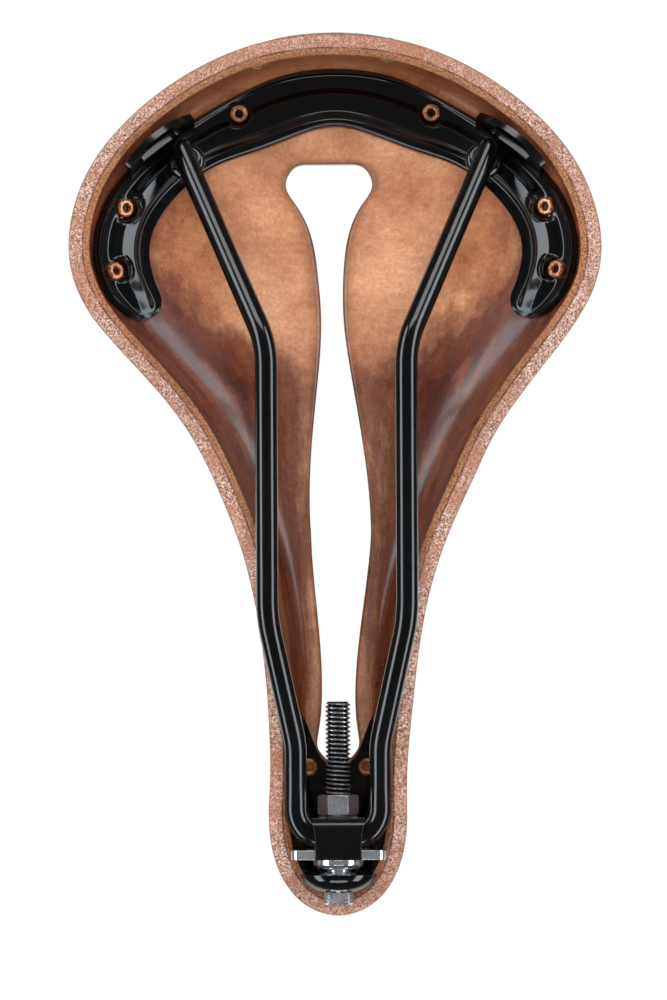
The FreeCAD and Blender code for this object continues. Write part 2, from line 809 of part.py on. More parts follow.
# ---------------------------------------------------------------- badge on the rear skirt
def badge_places():
    return [on_rear_skirt(BADGE_OFFSET + side * BADGE_RIVET, BADGE_Z, 0.0) for side in (1, -1)]


def badge_holes(shape):
    for centre, normal in badge_places():
        shape = shape.cut(Part.makeCylinder(BADGE_SHANK_R + TINY, 14, centre - normal * 8, normal))
    return shape


def badge_plate():
    """A blank oval plate lying on the rear skirt."""
    shell = leather_half(-TINY - BADGE_T, -TINY)
    shell = shell.fuse(mirrored(shell))
    oval = Part.Face(Part.Wire(Part.Ellipse(V(0, 0, 0), BADGE_HALF, BADGE_RISE).toShape()))
    oval.rotate(V(0, 0, 0), X_AXIS, 90)
    oval.translate(V(BADGE_OFFSET, 150, BADGE_Z))
    return badge_holes(biggest(shell.common(oval.extrude(V(0, -40, 0)))))


def badge_rivet(place):
    """A small brass rivet, domed outside and clenched inside the skirt."""
    outer, normal = place
    return turned(
        [
            (-LEATHER_T - 1.1, 0),
            (-LEATHER_T - 1.1, 1.5),
            (-LEATHER_T - 0.7, 2.2),
            (-LEATHER_T - TINY, 2.3),
            (-LEATHER_T - TINY, BADGE_SHANK_R),
            (BADGE_T + 2 * TINY, BADGE_SHANK_R),
            (BADGE_T + 2 * TINY, 2.4),
            (BADGE_T + 0.6, 2.1),
            (BADGE_T + 1.1, 1.2),
            (BADGE_T + 1.25, 0),
        ],
        outer,
        normal,
    )


# ---------------------------------------------------------------- export
def save(name, shape):
    shape.exportStep("parts/" + name + ".step")
    print(name, round(shape.Volume), shape.isValid(), len(shape.Solids))


def main():
    leather = badge_holes(rivet_holes(leather_top(), CANTLE_RIVETS + NOSE_RIVETS))
    plate = cantle_plate()
    rail = rails()
    loop = biggest(bag_loop().cut(plate).cut(rail).cut(leather))
    left_weld = weld(rail)
    sheet = nose_plate()
    cup = nose_cup()
    save("leather_top", leather)
    save("cantle_plate", plate)
    save("rails", rail)
    save("bag_loop_left", loop)
    save("bag_loop_right", mirrored(loop))
    save("rail_weld_left", left_weld)
    save("rail_weld_right", mirrored(left_weld))
    for name, place in zip(["rear", "mid", "wing"], CANTLE_RIVETS):
        save("cantle_rivets_" + name, both_sides(tubular_rivet(place)))
    for name, place in zip(["rear", "front"], NOSE_RIVETS):
        save("nose_rivets_" + name, both_sides(tubular_rivet(place)))
    save("nose_plate", sheet)
    save("nose_cup", cup)
    save("cup_welds", both_sides(cup_weld().cut(cup).cut(sheet)))
    save("tension_bolt", tension_bolt())
    save("tension_nut", tension_nut())
    save("lock_nut", lock_nut())
    save("shackle_strap", shackle_strap())
    save("thrust_plate", thrust_plate())
    save("badge_plate", badge_plate())
    save("badge_rivets", Part.makeCompound([badge_rivet(place) for place in badge_places()]))


main()
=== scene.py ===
import math

import bpy
import numpy as np
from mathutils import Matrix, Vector


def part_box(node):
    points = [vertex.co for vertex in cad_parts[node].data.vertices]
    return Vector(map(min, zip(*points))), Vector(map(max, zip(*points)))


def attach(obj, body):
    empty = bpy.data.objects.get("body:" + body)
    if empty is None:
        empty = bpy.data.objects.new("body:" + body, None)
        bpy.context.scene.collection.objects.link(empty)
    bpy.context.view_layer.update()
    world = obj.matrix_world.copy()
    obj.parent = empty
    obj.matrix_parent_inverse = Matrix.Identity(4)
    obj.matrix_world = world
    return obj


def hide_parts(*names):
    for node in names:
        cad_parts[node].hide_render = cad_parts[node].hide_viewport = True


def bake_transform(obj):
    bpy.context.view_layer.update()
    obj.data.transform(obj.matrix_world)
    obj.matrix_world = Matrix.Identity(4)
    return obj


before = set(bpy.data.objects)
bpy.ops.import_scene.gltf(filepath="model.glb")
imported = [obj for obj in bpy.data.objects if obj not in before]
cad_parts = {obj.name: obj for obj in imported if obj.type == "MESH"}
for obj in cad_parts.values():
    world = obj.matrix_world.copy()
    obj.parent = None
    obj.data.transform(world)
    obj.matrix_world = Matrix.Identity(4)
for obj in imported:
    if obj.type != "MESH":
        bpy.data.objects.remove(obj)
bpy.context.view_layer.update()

MM = 0.001  # the shapes below are worked out in millimetres

# ---------------------------------------------------------------- the leather's shape
# Half of the saddle from the middle of the rear to the middle of the nose:
# (slot x, slot y, edge x, edge y, edge height, squareness of the section)
STATIONS = np.array([
    (0.0, 98.2, 0.0, 139.0, 27.0, 7.0),
    (6.0, 98.2, 23.0, 136.3, 26.5, 6.8),
    (11.3, 97.0, 44.0, 127.8, 25.5, 6.0),
    (13.8, 91.0, 61.8, 115.2, 24.0, 4.8),
    (10.0, 84.4, 75.2, 100.0, 22.0, 3.8),
    (5.8, 74.7, 82.5, 83.5, 20.5, 3.2),
    (4.0, 62.0, 83.8, 66.5, 20.0, 3.0),
    (3.6, 48.0, 77.0, 49.5, 19.5, 2.9),
    (5.0, 33.0, 62.5, 31.5, 18.5, 2.8),
    (7.3, 16.0, 49.2, 14.0, 17.5, 2.7),
    (9.2, -2.0, 40.5, -3.0, 16.5, 2.7),
    (9.5, -21.0, 32.7, -21.5, 15.5, 2.7),
    (7.6, -41.0, 27.2, -41.0, 15.0, 2.8),
    (5.6, -61.0, 24.1, -60.5, 15.0, 3.0),
    (5.6, -77.0, 22.4, -79.0, 15.0, 3.2),
    (6.7, -85.5, 21.6, -96.0, 15.0, 3.4),
    (5.6, -89.0, 21.7, -112.0, 16.0, 3.4),
    (3.8, -90.9, 18.6, -126.0, 20.5, 3.3),
    (1.9, -91.7, 11.0, -136.4, 28.0, 3.2),
    (0.0, -92.0, 0.0, -140.3, 30.5, 3.2),
])
LAST = len(STATIONS) - 1
CROWN = (47.0, 0.00034, 0.008, 0.0006)  # height, sag and tilt of the ridge line, fall to the sides
LEATHER_T = 4.5
CUT_WIDTH = 4.3  # the rough cut face of the skirt
BEVEL_DEPTH = 6.5  # the bevel inside it ends this deep
BEVEL_END = 0.96  # s where the bevel ends
HEEL_END = 0.86  # s where the hide is back to its own thickness
AROUND_STEPS = 14  # mesh columns from one station to the next
# How far the hide lies to one side of the middle plane, by its place y along the saddle: (y, shift)
EDGE_DRIFT = [
    (-142, 0.0), (-105, 0.1), (-70, -0.9), (-40, -1.2), (0, -2.2),
    (25, -1.6), (50, 0.0), (90, 0.4), (140, 0.3),
]
SLOT_DRIFT = [
    (-92, 0.0), (-70, -0.3), (-45, -0.8), (-20, -1.3), (10, -0.2),
    (35, 0.6), (60, 1.6), (85, 2.1), (99, 2.0),
]
MIRROR = np.array([-1.0, 1.0, 1.0])


def smooth_step(value):
    """0 up to 0, 1 from 1 on, and an easy curve between them."""
    value = np.clip(value, 0.0, 1.0)
    return value * value * (3 - 2 * value)


def spline_column(values, runs_across):
    """The smooth curve through evenly spaced values, its ends square to the middle plane."""
    n = len(values)
    first = values[1] - values[0] if runs_across else 0.0
    last = values[-1] - values[-2] if runs_across else 0.0
    matrix = np.eye(n) * 4
    matrix[0, :2] = 2, 1
    matrix[-1, -2:] = 1, 2
    right = np.zeros(n)
    right[0] = 6 * ((values[1] - values[0]) - first)
    right[-1] = 6 * (last - (values[-1] - values[-2]))
    for i in range(1, n - 1):
        matrix[i, i - 1] = matrix[i, i + 1] = 1
        right[i] = 6 * (values[i + 1] - 2 * values[i] + values[i - 1])
    bend = np.linalg.solve(matrix, right)

    def at(t):
        i = np.clip(np.floor(t).astype(int), 0, n - 2)
        f = t - i
        g = 1 - f
        return values[i] * g + values[i + 1] * f + ((g**3 - g) * bend[i] + (f**3 - f) * bend[i + 1]) / 6

    return at


COLUMNS = [spline_column(STATIONS[:, k], k in (0, 2)) for k in range(6)]


def skin(t, s):
    """The leather's outer face: t round the half saddle, s from the slot to the cut edge."""
    slot_x, slot_y, edge_x, edge_y, edge_z, power = (column(t) for column in COLUMNS)
    reach = s * (2 - s)
    x = slot_x + (edge_x - slot_x) * reach
    y = slot_y + (edge_y - slot_y) * reach
    top = CROWN[0] + CROWN[1] * y * y + CROWN[2] * y - CROWN[3] * x * x
    z = edge_z + (top - edge_z) * np.sqrt(np.maximum(0.0, 1 - np.power(reach, power)))
    return np.stack([x, y, z], axis=-1)


def skin_normal(t, s):
    """The outward normal of the leather's outer face."""
    d = 0.002
    t0, t1 = np.maximum(0.0, t - d), np.minimum(float(LAST), t + d)
    s0, s1 = np.maximum(0.0, s - d), np.minimum(1.0, s + d)
    along = skin(t1, s) - skin(t0, s)
    across = skin(t, s1) - skin(t, s0)
    along[(t0 <= 0.0) | (t1 >= LAST), 1:] = 0.0
    n = np.cross(along, across)
    return n / np.linalg.norm(n, axis=-1, keepdims=True)


def sideways(table, y):
    """The sideways shift that a drift table gives at y."""
    places, shifts = zip(*table)
    return np.interp(y, places, shifts)


def drifted(points, s):
    """The points moved sideways with the hide."""
    reach = s * (2 - s)
    moved = points.copy()
    moved[:, 0] += sideways(SLOT_DRIFT, points[:, 1]) * (1 - reach)
    moved[:, 0] += sideways(EDGE_DRIFT, points[:, 1]) * reach
    return moved


# ---------------------------------------------------------------- mesh helpers
def make_mesh(name, verts, faces, material, smooth=True):
    mesh = bpy.data.meshes.new(name)
    mesh.from_pydata([tuple(v) for v in verts], [], faces)
    mesh.update()
    mesh.polygons.foreach_set("use_smooth", [smooth] * len(mesh.polygons))
    mesh.materials.append(material)
    obj = bpy.data.objects.new(name, mesh)
    bpy.context.scene.collection.objects.link(obj)
    return obj


def loop_faces(rings, count, closed):
    """Quads between rings of the same number of points; closed joins the last ring to the first."""
    faces = []
    for r in range(rings if closed else rings - 1):
        a = r * count
        b = ((r + 1) % rings) * count
        for i in range(count):
            j = (i + 1) % count
            faces.append((a + i, b + i, b + j, a + j))
    return faces


# ---------------------------------------------------------------- node helpers
class Shader:
    """A material with a Principled shader and short ways to wire textures into it."""

    def __init__(self, name):
        self.material = bpy.data.materials.new(name)
        self.material.use_nodes = True
        self.nodes = self.material.node_tree.nodes
        self.links = self.material.node_tree.links
        self.nodes.clear()
        out = self.nodes.new("ShaderNodeOutputMaterial")
        self.bsdf = self.nodes.new("ShaderNodeBsdfPrincipled")
        self.links.new(self.bsdf.outputs[0], out.inputs[0])
        self.place = self.nodes.new("ShaderNodeTexCoord").outputs["Object"]

    def noise(self, scale, detail=4.0, rough=0.55, stretch=None, place=None):
        tex = self.nodes.new("ShaderNodeTexNoise")
        tex.inputs["Scale"].default_value = scale
        tex.inputs["Detail"].default_value = detail
        tex.inputs["Roughness"].default_value = rough
        source = place or self.place
        if stretch:
            mapping = self.nodes.new("ShaderNodeMapping")
            mapping.inputs["Scale"].default_value = stretch
            self.links.new(source, mapping.inputs["Vector"])
            source = mapping.outputs[0]
        self.links.new(source, tex.inputs["Vector"])
        return tex.outputs["Fac"]

    def attribute(self, name, output="Fac"):
        node = self.nodes.new("ShaderNodeAttribute")
        node.attribute_name = name
        return node.outputs[output]

    def ramp(self, value, stops):
        node = self.nodes.new("ShaderNodeValToRGB")
        elements = node.color_ramp.elements
        while len(elements) > 1:
            elements.remove(elements[-1])
        elements[0].position = stops[0][0]
        elements[0].color = (*stops[0][1], 1.0)
        for position, colour in stops[1:]:
            elements.new(position).color = (*colour, 1.0)
        self.links.new(value, node.inputs[0])
        return node.outputs[0]

    def grey(self, value, stops):
        return self.ramp(value, [(position, (level,) * 3) for position, level in stops])

    def mix(self, factor, a, b, blend="MIX"):
        node = self.nodes.new("ShaderNodeMix")
        node.data_type = "RGBA"
        node.blend_type = blend
        for value, socket in ((factor, 0), (a, 6), (b, 7)):
            if hasattr(value, "links"):
                self.links.new(value, node.inputs[socket])
            elif socket == 0:
                node.inputs[0].default_value = value
            else:
                node.inputs[socket].default_value = (*value, 1.0)
        return node.outputs[2]

    def maths(self, kind, a, b):
        node = self.nodes.new("ShaderNodeMath")
        node.operation = kind
        for i, value in enumerate((a, b)):
            if hasattr(value, "links"):
                self.links.new(value, node.inputs[i])
            else:
                node.inputs[i].default_value = value
        return node.outputs[0]

    def set(self, name, value):
        if hasattr(value, "links"):
            self.links.new(value, self.bsdf.inputs[name])
        else:
            self.bsdf.inputs[name].default_value = value

    def bump(self, height, strength, distance, rounding=0.0):
        node = self.nodes.new("ShaderNodeBump")
        if rounding:
            bevel = self.nodes.new("ShaderNodeBevel")
            bevel.samples = 6
            bevel.inputs["Radius"].default_value = rounding
            self.links.new(bevel.outputs[0], node.inputs["Normal"])
        node.inputs["Strength"].default_value = strength
        node.inputs["Distance"].default_value = distance
        self.links.new(height, node.inputs["Height"])
        self.links.new(node.outputs[0], self.bsdf.inputs["Normal"])


# ---------------------------------------------------------------- materials
def enamel(name, rough, level, rounding=0.0):
    """Black enamel over steel: orange peel, a little dust and faint cool patches."""
    m = Shader(name)
    broad = m.noise(70, 4)
    dust = m.noise(1500, 3, 0.7)
    black = m.ramp(broad, [(0.3, (level * 0.8,) * 3), (0.7, (level, level * 1.1, level * 1.3))])
    m.set("Base Color", m.mix(m.grey(dust, [(0.62, 0.0), (0.75, 0.12)]), black, (0.014, 0.015, 0.017)))
    m.set("Roughness", m.grey(broad, [(0.3, rough * 0.8), (0.75, rough * 1.3)]))
    m.set("Specular IOR Level", 0.45)
    m.set("Coat Weight", 0.4)
    m.set("Coat Roughness", 0.05)
    m.bump(m.noise(420, 2), 0.06, 0.0004, rounding)
    return m.material


def plated(name, colour, rough, wear, metallic, scale=220):
    """Polished metal, its polish and colour a little uneven, with fine scratches."""
    m = Shader(name)
    broad = m.noise(scale, 5)
    worn = tuple(c * (1 - wear) for c in colour)
    m.set("Base Color", m.ramp(broad, [(0.35, worn), (0.62, colour)]))
    m.set("Metallic", metallic)
    m.set("Roughness", m.grey(broad, [(0.3, rough * 0.7), (0.7, rough * 1.6)]))
    m.bump(m.noise(2600, 2, stretch=(1.0, 0.2, 1.0)), 0.05, 0.0001, rounding=0.0004)
    return m.material


def threaded_chrome():
    """Chrome whose thread roots are darkened with painted shade."""
    m = Shader("chrome_thread")
    broad = m.noise(300, 4)
    bright = m.ramp(broad, [(0.35, (0.66, 0.68, 0.72)), (0.62, (0.88, 0.90, 0.94))])
    # painted shade: the thread roots are darkened to near black, where shade falls between the turns
    root_shade = m.grey(m.attribute("root_shade"), [(0.15, 0.0), (0.6, 0.97)])
    m.set("Base Color", m.mix(root_shade, bright, (0.015, 0.015, 0.018)))
    m.set("Metallic", 0.9)
    m.set("Roughness", m.grey(broad, [(0.3, 0.12), (0.7, 0.22)]))
    m.bump(m.noise(2600, 2), 0.03, 0.0001)
    return m.material


def tanned_underside(m, broad, blotch):
    """Tan round the slot's rear, dark oiled flanks, with mottling and fine fibre."""
    across = m.attribute("across")
    along = m.attribute("along")
    grain_place = m.attribute("grain", "Vector")
    streak = m.noise(1.0, 6, 0.62, stretch=(1.1, 14.0, 1.0), place=grain_place)
    wisp = m.noise(1.0, 5, 0.6, stretch=(7.0, 26.0, 1.0), place=grain_place)
    fibre = m.noise(900, 5, 0.75)
    tan = m.ramp(broad, [
        (0.34, (0.22, 0.070, 0.027)),
        (0.48, (0.39, 0.148, 0.062)),
        (0.64, (0.55, 0.245, 0.118)),
    ])
    tan = m.mix(m.grey(blotch, [(0.5, 0.0), (0.72, 0.5)]), tan, (0.30, 0.10, 0.04))
    dark = m.ramp(streak, [
        (0.34, (0.035, 0.005, 0.002)),
        (0.5, (0.075, 0.012, 0.005)),
        (0.68, (0.17, 0.040, 0.014)),
    ])
    # The dark starts far out from the slot at the rear, and reaches the slot in the middle.
    shift = m.grey(along, [
        (0.12, 0.0), (0.30, 0.05), (0.38, 0.26), (0.44, 0.50),
        (0.60, 0.46), (0.72, 0.28), (0.85, 0.20), (0.97, 0.1),
    ])
    unsure = m.maths("MULTIPLY", m.maths("SUBTRACT", streak, 0.5), 0.55)
    turn = m.maths("ADD", m.maths("ADD", across, shift), unsure)
    side = m.grey(turn, [(0.40, 0.0), (0.58, 0.85), (0.8, 1.0), (1.0, 0.85)])
    reach = m.grey(along, [
        (0.03, 0.6), (0.15, 0.8), (0.28, 0.9), (0.36, 1.0), (0.7, 0.95), (0.85, 0.6), (0.97, 0.5),
    ])
    colour = m.mix(m.maths("MULTIPLY", side, reach), tan, dark)
    colour = m.mix(0.30, colour, m.grey(wisp, [(0.35, 0.32), (0.5, 0.5), (0.68, 0.72)]), "OVERLAY")
    colour = m.mix(0.40, colour, m.grey(fibre, [(0.35, 0.25), (0.52, 0.52), (0.68, 0.8)]), "OVERLAY")
    return colour, fibre


def cut_face(m, speck, blotch):
    """The speckled cut edge of the skirt, browner at the rear and the nose."""
    brown = (0.30, 0.115, 0.058)
    end_brown = (0.30, 0.13, 0.07)
    colour = m.ramp(speck, [
        (0.38, (0.04, 0.012, 0.008)),
        (0.455, (0.22, 0.105, 0.072)),
        (0.53, (0.44, 0.265, 0.205)),
        (0.63, (0.80, 0.60, 0.51)),
    ])
    colour = m.mix(m.grey(blotch, [(0.46, 0.0), (0.62, 0.7)]), colour, brown)
    ends = m.grey(m.attribute("along"), [(0.08, 0.45), (0.22, 0.0), (0.9, 0.0), (1.0, 0.35)])
    return m.mix(ends, colour, end_brown)


def bevel_face(m, speck):
    """The pared bevel inside the cut edge."""
    return m.ramp(speck, [
        (0.38, (0.10, 0.03, 0.012)),
        (0.5, (0.29, 0.115, 0.052)),
        (0.62, (0.46, 0.23, 0.125)),
    ])


def leather_material():
    """Vegetable-tanned hide: oiled underside, speckled cut edge, pared bevel, dark crease and slot edge."""
    m = Shader("saddle_leather")
    broad = m.noise(26, 5, 0.6)
    blotch = m.noise(60, 5, 0.65)
    speck = m.noise(1500, 5, 0.8)
    cut = m.attribute("cut")
    bevel = m.attribute("bevel")
    underside, fibre = tanned_underside(m, broad, blotch)
    top = m.ramp(broad, [(0.3, (0.15, 0.052, 0.02)), (0.7, (0.26, 0.10, 0.04))])
    colour = m.mix(m.attribute("under"), top, underside)
    colour = m.mix(cut, colour, cut_face(m, speck, blotch))
    colour = m.mix(bevel, colour, bevel_face(m, speck))
    gaps = m.grey(m.noise(240, 4, 0.7), [(0.4, 0.25), (0.55, 1.0)])
    colour = m.mix(m.maths("MULTIPLY", m.attribute("crease"), gaps), colour, (0.035, 0.012, 0.008))
    colour = m.mix(m.attribute("burnish"), colour, (0.05, 0.016, 0.008))
    m.set("Base Color", colour)
    rough_edge = m.maths("MAXIMUM", cut, bevel)
    polish = m.grey(broad, [(0.3, 0.24), (0.7, 0.36)])
    m.set("Roughness", m.mix(rough_edge, polish, (0.85, 0.85, 0.85)))
    m.set("Specular IOR Level", 0.25)
    m.set("Coat Weight", m.mix(rough_edge, (0.7, 0.7, 0.7), (0.0, 0.0, 0.0)))
    m.set("Coat Roughness", 0.2)
    m.bump(m.mix(rough_edge, fibre, speck), 0.35, 0.0005)
    return m.material


EDGE_ROUNDING = 0.0006  # metres, for the edges of bent and pressed pieces
BLACK_ROD = enamel("black_rod_enamel", rough=0.16, level=0.0012)
BLACK_STEEL = enamel("black_sheet_enamel", rough=0.18, level=0.0012)
BLACK_CUP = enamel("black_cup_enamel", rough=0.11, level=0.001, rounding=EDGE_ROUNDING)
BLACK_SATIN = enamel("black_strap_enamel", rough=0.22, level=0.0012, rounding=EDGE_ROUNDING)
CHROME = plated("chrome_plate", (0.86, 0.88, 0.93), rough=0.09, wear=0.10, metallic=0.9)
COPPER = plated("copper_rivet", (0.80, 0.33, 0.16), rough=0.24, wear=0.5, metallic=0.75, scale=600)
BRASS = plated("brass_badge", (0.62, 0.42, 0.17), rough=0.26, wear=0.5, metallic=0.6, scale=500)
THREAD = threaded_chrome()
LEATHER = leather_material()


# ---------------------------------------------------------------- leather top
def leather_rows():
    """Rows of (s, depth, attributes) round the leather's section, from the slot out and back."""
    plain = dict(under=0.0, cut=0.0, bevel=0.0, crease=0.0, burnish=0.0)
    rows = []
    for s in np.concatenate([np.linspace(0.0, 0.88, 44)[:-1], np.linspace(0.88, 0.992, 10)]):
        rows.append((s, 0.0, plain))
    rows.append((0.998, 0.15, dict(plain, cut=0.3)))
    for depth in np.linspace(0.45, CUT_WIDTH - 0.25, 9):
        rows.append((1.0, depth, dict(plain, cut=1.0)))
    rows.append((0.994, CUT_WIDTH, dict(plain, cut=0.5, crease=1.0)))
    for u in np.linspace(0.15, 1.0, 6):
        depth = CUT_WIDTH + (BEVEL_DEPTH - CUT_WIDTH) * u**0.8
        rows.append((1.0 - (1.0 - BEVEL_END) * u, depth, dict(plain, bevel=1.0)))
    for u in np.linspace(0.0, 1.0, 8)[1:]:
        depth = BEVEL_DEPTH + (LEATHER_T - BEVEL_DEPTH) * smooth_step(u)
        bevel = 0.8 * max(0.0, 1 - 3 * u)
        rows.append((BEVEL_END - (BEVEL_END - HEEL_END) * u, depth, dict(plain, under=1.0, bevel=bevel)))
    for s in np.linspace(HEEL_END, 0.03, 42)[1:]:
        rows.append((s, LEATHER_T, dict(plain, under=1.0)))
    rows.append((0.012, LEATHER_T - 0.1, dict(plain, under=1.0, burnish=0.35)))
    for depth in np.linspace(LEATHER_T - 0.5, 0.5, 5):
        rows.append((0.0, depth, dict(plain, under=1.0, burnish=0.75)))
    return rows


def store(mesh, name, kind, field, columns):
    """A named value on every vertex, for the materials to read."""
    attribute = mesh.attributes.new(name, kind, "POINT")
    attribute.data.foreach_set(field, np.concatenate(columns).astype(np.float32).ravel())


def leather_top():
    """The whole hide: rows of points round the saddle, then its other half mirrored."""
    t = np.linspace(0.0, LAST, LAST * AROUND_STEPS + 1)
    t_round = np.concatenate([t, t[1:-1][::-1]])
    half = np.concatenate([np.zeros(len(t)), np.full(len(t) - 2, 50.0)])  # keeps the halves' grain apart
    rows = leather_rows()
    rings, grain = [], []
    values = {name: [] for name in (*rows[0][2], "across", "along")}
    for s, depth, marks in rows:
        across = np.full(len(t_round), s)
        p = skin(t, across[: len(t)]) - skin_normal(t, across[: len(t)]) * depth
        p[0, 0] = p[-1, 0] = 0.0
        rings.append(drifted(np.concatenate([p, p[1:-1][::-1] * MIRROR]), s))
        for name, level in marks.items():
            values[name].append(np.full(len(t_round), level))
        values["across"].append(across)
        values["along"].append(t_round / LAST)
        grain.append(np.stack([t_round, across, half], axis=-1))
    faces = loop_faces(len(rows), len(t_round), True)
    hide = make_mesh("leather_saddle_top", np.concatenate(rings) * MM, faces, LEATHER)
    for name, columns in values.items():
        store(hide.data, name, "FLOAT", "value", columns)
    store(hide.data, "grain", "FLOAT_VECTOR", "vector", grain)
    return hide


leather = leather_top()
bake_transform(leather)
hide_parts("leather_top")


# ---------------------------------------------------------------- cantle plate
# Rear and front edge of the plate in plan, from its middle to the tip of one arm.
CANTLE = np.array([
    (0.0, 128.9, 0.0, 110.2),
    (17.0, 126.7, 12.0, 107.4),
    (32.0, 120.2, 25.5, 102.3),
    (46.0, 112.0, 37.8, 97.9),
    (58.2, 103.4, 47.0, 91.8),
    (68.0, 93.9, 53.8, 84.8),
    (74.4, 83.0, 58.4, 77.2),
    (76.8, 70.8, 59.8, 69.4),
    (74.8, 60.2, 58.4, 62.2),
    (71.4, 54.4, 56.6, 57.6),
    (67.6, 50.6, 55.9, 54.2),
    (64.6, 48.9, 56.9, 51.0),
    (61.9, 48.5, 59.3, 49.1),
])
CANTLE_LINES = [spline_column(CANTLE[:, k], k in (0, 2)) for k in range(4)]
RIVET_SPOTS = [(31.0, 114.6), (68.2, 84.3), (71.4, 63.8)]
SHEET_T = 2.0
SKIN_GAP = 0.3
BEAD_HEIGHT = 3.2
BEAD_MIDDLE = 0.60  # where across the plate the bead runs, at the plate's middle
BEAD_SWING = 0.10  # how far it moves towards the rear edge, along the arm
BEAD_FLAT = 0.12  # half of its flat top, as a share of the plate's width
BEAD_SHOULDER = 0.18
BEAD_END = 10.9  # station where it has run out
BEAD_RUN_OUT = 3.0
POCKET_R = 3.2  # flat seat pressed round each rivet
POCKET_FADE = 1.9
LIP = 0.5  # the rim is turned down a little
LIP_WIDTH = 1.6
RIM_ROUND = 0.35  # the lower edge of the rim is rounded off by this


def under_leather(x, y, depth):
    """Places a depth under the outer face that lie at x, y in plan, with the normals there."""
    grid_t, grid_s = np.meshgrid(np.linspace(0.02, 8.5, 140), np.linspace(0.1, 0.985, 90))
    t, s = grid_t.ravel(), grid_s.ravel()
    sample = skin(t, s) - skin_normal(t, s) * depth
    near = [np.argmin((sample[:, 0] - a) ** 2 + (sample[:, 1] - b) ** 2) for a, b in zip(x, y)]
    t, s = t[near], s[near]
    d = 0.004
    for _ in range(8):  # Newton's method from the nearest sample
        here, along, across = (
            skin(t + dt, s + ds) - skin_normal(t + dt, s + ds) * depth for dt, ds in ((0, 0), (d, 0), (0, d))
        )
        x_t, x_s = (along[:, 0] - here[:, 0]) / d, (across[:, 0] - here[:, 0]) / d
        y_t, y_s = (along[:, 1] - here[:, 1]) / d, (across[:, 1] - here[:, 1]) / d
        off_x, off_y = x - here[:, 0], y - here[:, 1]
        det = x_t * y_s - x_s * y_t
        step_t = np.clip((y_s * off_x - x_s * off_y) / det, -0.3, 0.3)
        step_s = np.clip((x_t * off_y - y_t * off_x) / det, -0.05, 0.05)
        t = np.clip(t + step_t, 0.01, 9.0)
        s = np.clip(s + step_s, 0.05, 0.99)
    n = skin_normal(t, s)
    return skin(t, s) - n * depth, n


def bead(across, t):
    """Height of the bead at a place across the plate, 0 rear edge to 1 front edge."""
    middle = BEAD_MIDDLE - BEAD_SWING * smooth_step(t / 5.0)
    rise = smooth_step(1 - (np.abs(across - middle) - BEAD_FLAT) / BEAD_SHOULDER)
    return BEAD_HEIGHT * rise * smooth_step((BEAD_END - t) / BEAD_RUN_OUT)


def pocket(x, y):
    """0 in the flat seat of a rivet, 1 away from it."""
    nearest = np.min([np.hypot(x - a, y - b) for a, b in RIVET_SPOTS], axis=0)
    return smooth_step((nearest - POCKET_R) / POCKET_FADE)


def rim(edge, width):
    """How far the rim's lip stands down, by the distance from the edge and the plate's width there."""
    fade_at_tip = smooth_step((width - 3.0) / 3.0)
    return LIP * smooth_step(1 - edge / LIP_WIDTH) * smooth_step(edge / 0.25) * fade_at_tip


def cantle_plate():
    """The plate as sections across it: the lower face from rear to front, then the upper face back."""
    stations = np.linspace(0.0, len(CANTLE) - 1.0, 145)
    lower = np.concatenate([[0.0, 0.012], np.linspace(0.03, 0.97, 53), [0.988, 1.0]])
    upper = np.linspace(1.0, 0.0, 25)
    spots = np.concatenate([lower, upper])
    is_lower = np.concatenate([np.ones(len(lower)), np.zeros(len(upper))])
    t, across = (v.ravel() for v in np.meshgrid(stations, spots, indexing="ij"))
    rear_x, rear_y, front_x, front_y = (line(t) for line in CANTLE_LINES)
    x = rear_x + (front_x - rear_x) * across
    y = rear_y + (front_y - rear_y) * across
    width = np.hypot(front_x - rear_x, front_y - rear_y)
    edge = np.minimum(across, 1 - across) * width
    sheet = SHEET_T + rim(edge, width) - RIM_ROUND * smooth_step(1 - edge / 0.3)
    drop = np.tile(is_lower, len(stations)) * sheet + bead(across, t) * pocket(x, y)
    base, normal = under_leather(x, y, LEATHER_T + SKIN_GAP)
    half = (base - normal * drop[:, None]).reshape(len(stations), len(spots), 3)
    half[0, :, 0] = 0.0
    sections = np.concatenate([half[:0:-1] * MIRROR, half])
    count = len(spots)
    last = len(sections) * count - 1
    faces = loop_faces(len(sections), count, False)
    faces += [tuple(range(count)), tuple(range(last, last - count, -1))]
    pressing = make_mesh("pressed_cantle_plate", sections.reshape(-1, 3) * MM, faces, BLACK_STEEL)
    pressing.data.set_sharp_from_angle(angle=math.radians(50))
    return pressing


plate = cantle_plate()
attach(plate, "frame")
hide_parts("cantle_plate")


# ---------------------------------------------------------------- threaded tension bolt
PITCH = 1.41
CREST_R = 4.0
ROOT_R = 3.15
NECK_R = 3.5
FLARE_R = 6.0  # where the bolt's shoulder sits in the cup
SQUARE = 9.0
SQUARE_CORNER = 1.4
BOLT_ANGLES = 64
PITCH_STEPS = 12  # mesh rings in one pitch of the thread


def thread_radius(y, turns):
    """The radius of a thread with a flattened crest, at a place along it and an angle in turns."""
    phase = (y / PITCH - turns) % 1.0
    flank = np.clip((np.abs(phase - 0.5) - 0.06) / 0.38, 0.0, 1.0)
    return CREST_R - (CREST_R - ROOT_R) * flank


def square_ring(turns, size, corner):
    """The radius of a square with its corners taken off, at angles in turns."""
    c, s = np.abs(np.cos(turns * 2 * math.pi)), np.abs(np.sin(turns * 2 * math.pi))
    return np.minimum(size / 2 / np.maximum(c, s), (size - corner) / (c + s))


